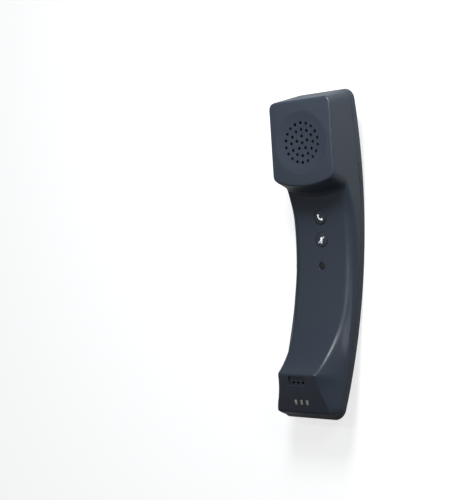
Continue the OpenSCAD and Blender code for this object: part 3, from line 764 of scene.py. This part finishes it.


# White print with painted light: an emission glow makes the marks brighter than the lamps alone light them
def glowing_print(name, base, glow):
    made, nodes, links, shader = material(name, base, 0.5)
    shader.inputs["Emission Color"].default_value = (*base, 1)
    shader.inputs["Emission Strength"].default_value = glow
    varied(nodes, links, shader, base, 900, 0.04)
    return made


def clear_lens(name, base, glow):
    made, nodes, links, shader = material(name, base, 0.12)
    shader.inputs["Coat Weight"].default_value = 0.6
    shader.inputs["Emission Color"].default_value = (*base, 1)
    shader.inputs["Emission Strength"].default_value = glow
    varied(nodes, links, shader, base, 420, 0.1)
    return made


def plated(name, base, low, high, stretch=(1, 1, 1)):
    made, nodes, links, shader = material(name, base, (low + high) / 2, 1.0)
    varied(nodes, links, shader, base, 60, 0.05)
    grained(nodes, links, shader, 900, 0.000008, low, high, stretch)
    return made


def board(name):
    """Green solder mask with paler copper tracks under it"""
    made, nodes, links, shader = material(name, (0.02, 0.16, 0.07), 0.3)
    place = nodes.new("ShaderNodeTexCoord")
    bricks = nodes.new("ShaderNodeTexBrick")
    bricks.inputs["Scale"].default_value = 260
    bricks.inputs["Mortar Size"].default_value = 0.03
    bricks.inputs["Color1"].default_value = (0.018, 0.15, 0.065, 1)
    bricks.inputs["Color2"].default_value = (0.024, 0.18, 0.08, 1)
    bricks.inputs["Mortar"].default_value = (0.06, 0.3, 0.12, 1)
    links.new(place.outputs["Object"], bricks.inputs["Vector"])
    links.new(bricks.outputs["Color"], shader.inputs["Base Color"])
    shader.inputs["Coat Weight"].default_value = 0.3
    return made


def cloth(name):
    """Fine black acoustic mesh"""
    made, nodes, links, shader = material(name, (0.012, 0.012, 0.013), 0.85)
    place = nodes.new("ShaderNodeTexCoord")
    checks = nodes.new("ShaderNodeTexChecker")
    checks.inputs["Scale"].default_value = 2600
    checks.inputs["Color1"].default_value = (0.006, 0.006, 0.007, 1)
    checks.inputs["Color2"].default_value = (0.02, 0.02, 0.022, 1)
    bump = nodes.new("ShaderNodeBump")
    bump.inputs["Strength"].default_value = 0.4
    bump.inputs["Distance"].default_value = 0.00005
    links.new(place.outputs["Object"], checks.inputs["Vector"])
    links.new(checks.outputs["Color"], shader.inputs["Base Color"])
    links.new(checks.outputs["Fac"], bump.inputs["Height"])
    links.new(bump.outputs["Normal"], shader.inputs["Normal"])
    return made


FINISHES = {}


def make_finishes(finish):
    FINISHES["shell_plastic"] = moulded("shell_plastic", tuple(finish.shell))
    FINISHES["key_plastic"] = moulded("key_plastic", tuple(finish.key), 0.34, 0.46)
    # The key marks get painted light: an emission glow of 0.45 on top of their white print
    FINISHES["mark_print_glowing"] = glowing_print("mark_print_glowing", tuple(finish.mark), 0.45)
    FINISHES["inner_plastic"] = moulded("inner_plastic", (0.022, 0.024, 0.028), 0.45, 0.6)
    FINISHES["smoked_window"] = moulded("smoked_window", tuple(finish.window), 0.34, 0.4, 600, 0.000004)
    FINISHES["blue_lens"] = clear_lens("blue_lens", tuple(finish.blue), 0.25)
    FINISHES["green_lens"] = clear_lens("green_lens", tuple(finish.green), 0.35)
    FINISHES["contact_gold"] = plated("contact_gold", (0.97, 0.93, 0.84), 0.3, 0.42)
    FINISHES["steel"] = plated("steel", (0.55, 0.56, 0.58), 0.25, 0.4, (1, 12, 1))
    FINISHES["rubber_black"] = moulded("rubber_black", (0.02, 0.02, 0.022), 0.6, 0.75, 1500, 0.00003)
    FINISHES["mesh_cloth"] = cloth("mesh_cloth")
    FINISHES["board_green"] = board("board_green")
    FINISHES["lamp_white"] = clear_lens("lamp_white", (0.8, 0.8, 0.75), 0.1)
    FINISHES["pouch_foil"] = plated("pouch_foil", (0.6, 0.61, 0.63), 0.3, 0.45, (6, 1, 1))
    FINISHES["flex_amber"] = moulded("flex_amber", (0.36, 0.17, 0.04), 0.2, 0.32, 1200, 0.000006)


def dress(piece, finish, slot, body, *nodes):
    """Gives a finished piece its material and its body, and hides the CAD nodes it stands for. The slot is not
    used.
    """
    piece.data.materials.clear()
    piece.data.materials.append(FINISHES[finish])
    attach(piece, body)
    if nodes:
        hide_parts(*nodes)
    return piece


class HANDSET_OT_finishes(bpy.types.Operator):
    """Makes the materials and gives them to the CAD nodes"""

    bl_idname = "handset.finishes"
    bl_label = "Finishes"

    def execute(self, context):
        make_finishes(context.scene.handset_finish)
        for node, piece in CAD.items():
            if piece.material_slots:
                piece.material_slots[0].material = FINISHES[SLOT_OF[node]]
        return {"FINISHED"}


class HANDSET_OT_cover(bpy.types.Operator):
    """Builds the curved outer cover with its side band"""

    bl_idname = "handset.cover"
    bl_label = "Outer cover"

    def execute(self, context):
        body = context.scene.handset_body
        details = context.scene.handset_details
        cover = slab("cover_shell", body, 0, 0, body.cover_depth)
        pick(cover, "FACE", lambda face: face.normal.z > 0.9)
        bpy.ops.mesh.inset(thickness=body.cover_wall, use_even_offset=True)
        sink = {"value": (0, 0, body.cover_floor - body.cover_depth)}
        bpy.ops.mesh.extrude_region_move(TRANSFORM_OT_translate=sink)
        leave()
        half = body.wide / 2

        def outer_rim(edge, z):
            flat = all(abs(v.co.z - z) < 1e-6 for v in edge.verts)
            walls = [f for f in edge.link_faces if abs(f.normal.z) < 0.1]
            return flat and len(walls) == 1 and walls[0].calc_center_median().xy.length > 0 and outermost(walls[0], half)

        def outermost(face, reach):
            arc = body.outer_radius * math.asin(body.long / 2 / body.outer_radius)
            near_side = max(abs(v.co.x) for v in face.verts) > reach - body.corner * 1.01
            near_end = max(abs(v.co.y) for v in face.verts) > arc - body.corner * 1.01
            out = face.calc_center_median()
            return (near_side or near_end) and out.xy.dot(face.normal.xy) > 0

        pick(cover, "EDGE", lambda edge: outer_rim(edge, 0))
        bpy.ops.mesh.bevel(offset=1.1 * MM, segments=5, affect="EDGES", offset_type="OFFSET")
        leave()
        pick(cover, "EDGE", lambda edge: outer_rim(edge, body.cover_depth))
        bpy.ops.mesh.bevel(offset=0.12 * MM, segments=2, affect="EDGES", offset_type="OFFSET")
        leave()
        sliced(cover, body)
        curved(cover, body)
        wide = details.rocker_wide + 2 * details.fit
        slot = box("slot", (6 * MM, details.rocker_long + 2 * details.fit, wide), (0, 0, 0))
        pick(slot, "EDGE", along_x)
        bpy.ops.mesh.bevel(offset=0.9 * MM, segments=5, affect="EDGES")
        leave()
        moved(slot, Matrix.Translation((half + 0.2 * MM, 0, 0)) @ on_arc(body, details.rocker_y, details.rocker_low + wide / 2 - details.fit))
        cut(cover, slot)
        gap = details.fit / 2
        flare = [(0, -3), (details.blue_radius / MM + 0.5, -3), (details.blue_radius / MM + 0.2, -0.05)]
        flare += [(details.blue_radius / MM + gap / MM, 0.1), (details.blue_radius / MM + gap / MM, 5), (0, 5)]
        hole = turned("hole", [(r * MM, z * MM) for r, z in flare])
        cut(cover, moved(hole, on_arc(body, details.blue_y)))
        bar = box("bar", (details.green_wide + 2 * gap, details.green_long + 2 * gap, 10 * MM), (0, 0, 0))
        pick(bar, "EDGE", upright)
        bpy.ops.mesh.bevel(offset=0.5 * MM, segments=5, affect="EDGES")
        leave()
        cut(cover, moved(bar, on_arc(body, details.green_y)))
        smoothed(cover)
        dress(cover, "shell_plastic", "shell_plastic", "handset", "outer_cover")
        return {"FINISHED"}


class HANDSET_OT_housing(bpy.types.Operator):
    """Builds the inner housing with ear cup, grip and mouthpiece"""

    bl_idname = "handset.housing"
    bl_label = "Inner housing"

    def execute(self, context):
        body = context.scene.handset_body
        details = context.scene.handset_details
        view = SideView(body)
        seam_depth = body.cover_depth + body.seam
        shell = sheet("housing_shell", housing_rings(body, 0, seam_depth))
        self.dish(shell, body, view)
        self.key_wells(shell, body, details, view)
        self.mouth_holes(shell, details, view)
        cut(shell, sheet("hollow", housing_rings(body, body.wall, seam_depth - 1.2 * MM)))
        ring = slab("lip", body, 1.6 * MM, 4.55 * MM, 6.9 * MM)
        hole = slab("lip_hole", body, 2.8 * MM, 4 * MM, 8 * MM)
        cut(ring, hole)
        sliced(ring, body, 48)
        curved(ring, body)
        room = box("room", (12 * MM, 30 * MM, 8 * MM), (body.wide / 2 - 3 * MM, details.rocker_y, 7 * MM))
        cut(ring, room)
        shell = joined("housing_shell", [shell, ring])
        smoothed(shell)
        dress(shell, "shell_plastic", "shell_plastic", "handset", "inner_housing")
        return {"FINISHED"}

    def dish(self, shell, body, view):
        sphere = (body.dish_radius ** 2 + body.dish_depth ** 2) / (2 * body.dish_depth)
        rim = body.dish_radius
        points = [(0, -body.dish_depth)]
        for i in range(1, 11):
            r = rim * i / 10
            points.append((r, sphere - body.dish_depth - math.sqrt(sphere ** 2 - r ** 2)))
        points += [(rim + 3 * MM, 0.4 * MM), (rim + 3 * MM, 2 * MM), (0, 2 * MM)]
        cut(shell, moved(turned("dish", points, 96), on_ear(view)), careful=True)
        places = [Matrix.Identity(4)]
        for ring, count in enumerate((5, 12, 18), start=1):
            for i in range(count):
                angle = math.pi / 2 + 2 * math.pi * i / count
                reach = body.hole_pitch * ring
                places.append(Matrix.Translation((reach * math.cos(angle), reach * math.sin(angle), 0)))
        drills = joined("drills", copies(drill(body.hole_radius, 6 * MM, 20), [on_ear(view) @ place for place in places]))
        cut(shell, drills, careful=True)

    def key_wells(self, shell, body, details, view):
        for y in (details.call_y, details.mute_y):
            r = (details.key_radius + 0.7 * details.fit) / MM
            points = [(0, -5), (r + 1, -5), (r + 1, -1.4), (r, -1.4), (r, -0.18), (r + 0.12, 0.02), (r + 0.5, 2), (0, 2)]
            well = turned("well", [(a * MM, z * MM) for a, z in points], 64)
            cut(shell, moved(well, on_grip(view, y)), careful=True)
        r = details.window_radius / MM
        points = [(0, -5), (r + 1.2, -5), (r + 1.2, -1.4), (r, -1.4), (r, -0.25), (r + 0.25, 0.02), (r + 0.5, 2), (0, 2)]
        well = turned("well", [(a * MM, z * MM) for a, z in points], 48)
        cut(shell, moved(well, on_grip(view, -details.window_y)), careful=True)

    def mouth_holes(self, shell, details, view):
        recess = box("recess", (details.mic_wide, details.mic_high, 2 * details.mic_deep), (0, 0, 0))
        pick(recess, "EDGE", upright)
        bpy.ops.mesh.bevel(offset=1.6 * MM, segments=6, affect="EDGES")
        leave()
        cut(shell, moved(recess, on_mouth(view, -details.mic_y)), careful=True)
        shifts = [Matrix.Translation((i * details.mic_pitch, -1.4 * MM, 0)) for i in (-1, 0, 1)]
        pin = drill(details.mic_radius, 12 * MM, 24)
        drills = joined("drills", copies(pin, [on_mouth(view, -details.mic_y) @ m for m in shifts]))
        cut(shell, drills, careful=True)
        size = (details.contact_wide + details.fit, details.contact_long + details.fit, 12 * MM)
        slot = box("slot", size, (0, 0, 0))
        pick(slot, "EDGE", upright)
        bpy.ops.mesh.bevel(offset=0.5 * MM, segments=4, affect="EDGES")
        leave()
        shifts = [Matrix.Translation((i * details.contact_pitch, 0, 0)) for i in (-1, 0, 1)]
        slots = joined("slots", copies(slot, [on_mouth(view, -details.contact_y) @ m for m in shifts]))
        cut(shell, slots, careful=True)


def key_outline(details):
    r = details.key_radius / MM
    high = details.key_proud / MM
    cap = [(0, high), (r - 1.2, high), (r - 0.42, high - 0.03), (r - 0.14, high - 0.14), (r, high - 0.42)]
    stem = [(r, -1.5), (r + 1, -1.5), (r + 1, -2.3), (1.6, -2.3), (1.6, -3.3), (0, -3.3)]
    return [(a * MM, z * MM) for a, z in cap + stem]


class HANDSET_OT_keys(bpy.types.Operator):
    """Builds the call key and the mute key"""

    bl_idname = "handset.keys"
    bl_label = "Keys"

    def execute(self, context):
        details = context.scene.handset_details
        view = SideView(context.scene.handset_body)
        for node, y in (("call_key", details.call_y), ("mute_key", details.mute_y)):
            key = moved(turned(node + "_cap", key_outline(details), 64), on_grip(view, y))
            smoothed(key, 40)
            dress(key, "key_plastic", "key_plastic", node, node)
        return {"FINISHED"}


def plate(name, outline, low, high):
    """Flat plate between two heights from an outline in millimetres"""
    bpy.ops.mesh.primitive_circle_add(vertices=len(outline), radius=1, fill_type="NGON")
    piece = named(name)
    for vertex, (x, y) in zip(piece.data.vertices, outline):
        vertex.co = (x * MM, y * MM, low * MM)
    edit(piece, "FACE")
    bpy.ops.mesh.select_all(action="SELECT")
    bpy.ops.mesh.extrude_region_move(TRANSFORM_OT_translate={"value": (0, 0, (high - low) * MM)})
    bpy.ops.mesh.select_all(action="SELECT")
    bpy.ops.mesh.normals_make_consistent(inside=False)
    leave()
    return piece


def bar_outline(a, b, width):
    """Round-ended bar from a to b"""
    a, b = Vector(a), Vector(b)
    along = math.atan2(b.y - a.y, b.x - a.x)
    points = []
    for centre, start in ((b, -math.pi / 2), (a, math.pi / 2)):
        for i in range(9):
            t = along + start + math.pi * i / 8
            points.append((centre.x + width / 2 * math.cos(t), centre.y + width / 2 * math.sin(t)))
    return points


class HANDSET_OT_marks(bpy.types.Operator):
    """Prints the handset picture and the crossed-out microphone on the keys"""

    bl_idname = "handset.marks"
    bl_label = "Key marks"

    def execute(self, context):
        details = context.scene.handset_details
        view = SideView(context.scene.handset_body)
        low = details.key_proud / MM - 0.02
        high = details.key_proud / MM + 0.04
        # The marks' material is white print that also glows with painted light
        call = plate("call_mark", self.receiver_outline(), low, high)
        moved(call, on_grip(view, details.call_y))
        dress(call, "mark_print_glowing", "lamp_white", "call_key")
        mute = self.microphone(low, high)
        moved(mute, on_grip(view, details.mute_y))
        dress(mute, "mark_print_glowing", "lamp_white", "mute_key")
        return {"FINISHED"}

    def receiver_outline(self):
        """Receiver with its back to the lower left, thick at both ends"""
        centre = Vector((1.25, 1.35))
        outside, inside = [], []
        for i in range(33):
            share = i / 32
            angle = math.radians(168 + 114 * share)
            way = Vector((math.cos(angle), math.sin(angle)))
            end = abs(2 * share - 1)
            blob = max(0.0, (end - 0.55) / 0.45)
            thick = 0.62 + 0.62 * math.sin(min(blob * 1.9, math.pi / 2))
            close = 0.28 * max(0.0, (blob - 0.8) / 0.2) ** 2
            outside.append(centre + way * (2.95 - close))
            inside.append(centre + way * (2.95 - thick + close))
        return [tuple(p * 1.12) for p in outside + inside[::-1]]

    def microphone(self, low, high):
        parts = [plate("capsule", bar_outline((0, 0.1), (0, 1.35), 1.1), low, high)]
        bow = []
        for reach, turns in ((1.15, range(13)), (0.85, range(12, -1, -1))):
            for i in turns:
                angle = math.radians(180 + 15 * i)
                bow.append((reach * math.cos(angle), 0.1 + reach * math.sin(angle)))
        parts.append(plate("bow", bow, low, high))
        parts.append(plate("stem", bar_outline((0, -1), (0, -1.8), 0.34), low, high))
        parts.append(plate("base", bar_outline((-0.6, -1.85), (0.6, -1.85), 0.34), low, high))
        parts.append(plate("slash", bar_outline((-2.1, -1.75), (2.1, 1.95), 0.4), low, high + 0.01))
        return joined("mute_mark", parts)


class HANDSET_OT_window(bpy.types.Operator):
    """Builds the smoked indicator window in the grip"""

    bl_idname = "handset.window"
    bl_label = "Indicator window"

    def execute(self, context):
        details = context.scene.handset_details
        view = SideView(context.scene.handset_body)
        r = details.window_radius / MM - 0.08
        points = [(0, -0.12), (r * 0.5, -0.13), (r - 0.25, -0.16), (r, -0.3), (r, -1.5), (r + 1.1, -1.5)]
        points += [(r + 1.1, -2.3), (1.5, -2.3), (1.5, -4.8), (0, -4.8)]
        pane = moved(turned("window_pane", [(a * MM, z * MM) for a, z in points]), on_grip(view, -details.window_y))
        smoothed(pane, 40)
        dress(pane, "smoked_window", "smoked_window", "handset", "indicator_window")
        return {"FINISHED"}


class HANDSET_OT_rocker(bpy.types.Operator):
    """Rounds the volume rocker's edges"""

    bl_idname = "handset.rocker"
    bl_label = "Volume rocker"

    def execute(self, context):
        rocker = from_cad("rocker_bar", "volume_rocker")
        softened(rocker, 0.22 * MM, 3, 50)
        smoothed(rocker, 40)
        dress(rocker, "key_plastic", "key_plastic", "volume_rocker", "volume_rocker")
        return {"FINISHED"}


class HANDSET_OT_contacts(bpy.types.Operator):
    """Rounds the three charging contacts"""

    bl_idname = "handset.contacts"
    bl_label = "Charging contacts"

    def execute(self, context):
        for node in ("contact_left", "contact_middle", "contact_right"):
            pin = from_cad(node + "_pin", node)
            softened(pin, 0.3 * MM, 4, 50)
            smoothed(pin, 40)
            dress(pin, "contact_gold", "contact_gold", "handset", node)
        return {"FINISHED"}


class HANDSET_OT_lights(bpy.types.Operator):
    """Builds the two light windows of the outer cover"""

    bl_idname = "handset.lights"
    bl_label = "Lights"

    def execute(self, context):
        body = context.scene.handset_body
        details = context.scene.handset_details
        r = details.blue_radius / MM
        points = [(0, 0.05), (r - 0.5, 0.07), (r - 0.15, 0.14), (r, 0.32), (r, 2.1), (r + 1, 2.1), (r + 1, 2.9), (r, 2.9), (r, 4.6), (0, 4.6)]
        lens = moved(turned("blue_lens", [(a * MM, z * MM) for a, z in points]), on_arc(body, details.blue_y))
        smoothed(lens, 40)
        dress(lens, "blue_lens", "blue_lens", "handset", "blue_light_guide")
        strip = from_cad("green_bar", "green_light_guide")
        pick(strip, "EDGE", lambda edge: edge.calc_face_angle(0) > 1 and max(v.co.x for v in edge.verts) < details.green_wide)
        bpy.ops.mesh.bevel(offset=0.25 * MM, segments=3, affect="EDGES", clamp_overlap=True)
        leave()
        smoothed(strip, 40)
        dress(strip, "green_lens", "green_lens", "handset", "green_light_guide")
        return {"FINISHED"}


# Camera fitted to the photo: direction, roll, distance and offset in millimetres
CAMERA = {"azimuth": 40.891, "elevation": -5.309, "roll": 2.106, "distance": 710.5, "aside": 57.68, "above": -2.02}
LENS = 86.75
LIFT = 18.07


def lamp(name, place, target, size, power, tint=(1, 1, 1), high=None):
    bpy.ops.object.light_add(type="AREA", location=place)
    light = bpy.context.object
    light.name = name
    light.data.shape = "RECTANGLE"
    light.data.size = size
    light.data.size_y = high or size
    light.data.energy = power
    light.data.color = tint
    light.rotation_euler = (Vector(target) - Vector(place)).to_track_quat("-Z", "Y").to_euler()
    return light


class HANDSET_OT_stage(bpy.types.Operator):
    """Sets the floor, the lamps, the world and the camera"""

    bl_idname = "handset.stage"
    bl_label = "Stage"

    def execute(self, context):
        finish = context.scene.handset_finish
        bpy.ops.mesh.primitive_plane_add(size=6)
        floor = named("floor")
        made, nodes, links, shader = material("floor_paper", tuple(finish.floor), 0.9)
        shader.inputs["Specular IOR Level"].default_value = 0.1
        path = nodes.new("ShaderNodeLightPath")
        glow = nodes.new("ShaderNodeMath")
        glow.operation = "MULTIPLY"
        glow.inputs[1].default_value = 0.74
        links.new(path.outputs["Is Camera Ray"], glow.inputs[0])
        shader.inputs["Emission Color"].default_value = (1, 1, 1, 1)
        links.new(glow.outputs["Value"], shader.inputs["Emission Strength"])
        floor.data.materials.append(made)
        self.sky(context)
        self.lamps()
        self.camera(context)
        context.scene.view_settings.view_transform = "Standard"
        return {"FINISHED"}

    def sky(self, context):
        world = bpy.data.worlds.new("studio")
        context.scene.world = world
        world.use_nodes = True
        nodes, links = world.node_tree.nodes, world.node_tree.links
        back = nodes["Background"]
        path = nodes.new("ShaderNodeLightPath")
        strength = nodes.new("ShaderNodeMapRange")
        strength.inputs["To Min"].default_value = 0.05
        strength.inputs["To Max"].default_value = 1.0
        back.inputs["Color"].default_value = (1, 1, 1, 1)
        links.new(path.outputs["Is Camera Ray"], strength.inputs["Value"])
        links.new(strength.outputs["Result"], back.inputs["Strength"])

    def lamps(self):
        middle = (0, 0.02, 0.03)
        lamp("key_lamp", (0.14, 0.5, 0.5), middle, 0.2, 3.2, (0.93, 0.98, 1.0))
        lamp("face_lamp", (0.06, 0.17, 0.17), (0, 0.07, 0.04), 0.08, 0.22, (0.92, 0.98, 1.0))
        lamp("side_lamp", (0.32, 0.27, 0.16), (0.02, 0.06, 0.02), 0.2, 0.22, (0.9, 0.97, 1.0))
        lamp("edge_lamp", (0.1, 0.06, 0.6), (0.02, 0.07, 0.04), 0.04, 0.4, (0.93, 0.98, 1.0), 0.14)
        lamp("rim_lamp", (0.46, 0.2, 0.42), (0.02, 0.07, 0.04), 0.05, 0.5, (0.93, 0.98, 1.0), 0.14)
        lamp("fill_lamp", (-0.5, 0.1, 0.9), middle, 0.8, 0.5)
        lamp("low_lamp", (-0.5, -0.42, 0.5), (0, -0.09, 0.03), 0.12, 0.12)

    def camera(self, context):
        azimuth = math.radians(CAMERA["azimuth"])
        elevation = math.radians(CAMERA["elevation"])
        roll = math.radians(CAMERA["roll"])
        flat = math.cos(elevation)
        forward = -Vector((math.sin(azimuth) * flat, math.sin(elevation), math.cos(azimuth) * flat))
        right = forward.cross(Vector((0, 1, 0))).normalized()
        up = right.cross(forward)
        across = right * math.cos(roll) + up * math.sin(roll)
        upwards = up * math.cos(roll) - right * math.sin(roll)
        place = -(across * CAMERA["aside"] + upwards * CAMERA["above"] + forward * CAMERA["distance"]) * MM
        place.z += LIFT * MM
        bpy.ops.object.camera_add()
        camera = bpy.context.object
        camera.name = "photo_camera"
        turn = Matrix((across, upwards, -forward)).transposed().to_4x4()
        camera.matrix_world = Matrix.Translation(place) @ turn
        camera.data.sensor_fit = "HORIZONTAL"
        camera.data.sensor_width = 36
        camera.data.lens = LENS
        camera.data.clip_start = 0.01
        context.scene.camera = camera


OPERATORS = (
    HANDSET_OT_finishes,
    HANDSET_OT_stage,
    HANDSET_OT_cover,
    HANDSET_OT_housing,
    HANDSET_OT_keys,
    HANDSET_OT_marks,
    HANDSET_OT_window,
    HANDSET_OT_rocker,
    HANDSET_OT_contacts,
    HANDSET_OT_lights,
)


class HANDSET_PT_panel(bpy.types.Panel):
    """Lists the handset's operators and sizes"""

    bl_idname = "HANDSET_PT_panel"
    bl_label = "Handset"
    bl_space_type = "VIEW_3D"
    bl_region_type = "UI"
    bl_category = "Handset"

    def draw(self, context):
        for operator in OPERATORS:
            self.layout.operator(operator.bl_idname)
        for group in (context.scene.handset_body, context.scene.handset_details, context.scene.handset_finish):
            column = self.layout.column()
            for name in group.__annotations__:
                column.prop(group, name)


CLASSES = (HandsetBody, HandsetDetails, HandsetFinish) + OPERATORS + (HANDSET_PT_panel,)


def register():
    for cls in CLASSES:
        bpy.utils.register_class(cls)
    bpy.types.Scene.handset_body = bpy.props.PointerProperty(type=HandsetBody)
    bpy.types.Scene.handset_details = bpy.props.PointerProperty(type=HandsetDetails)
    bpy.types.Scene.handset_finish = bpy.props.PointerProperty(type=HandsetFinish)


def unregister():
    del bpy.types.Scene.handset_finish
    del bpy.types.Scene.handset_details
    del bpy.types.Scene.handset_body
    for cls in reversed(CLASSES):
        bpy.utils.unregister_class(cls)


def main():
    register()
    bpy.ops.object.select_all(action="DESELECT")
    bpy.ops.handset.finishes()
    bpy.ops.handset.stage()
    bpy.ops.handset.cover()
    bpy.ops.handset.housing()
    bpy.ops.handset.keys()
    bpy.ops.handset.marks()
    bpy.ops.handset.window()
    bpy.ops.handset.rocker()
    bpy.ops.handset.contacts()
    bpy.ops.handset.lights()


if __name__ == "__main__":
    main()
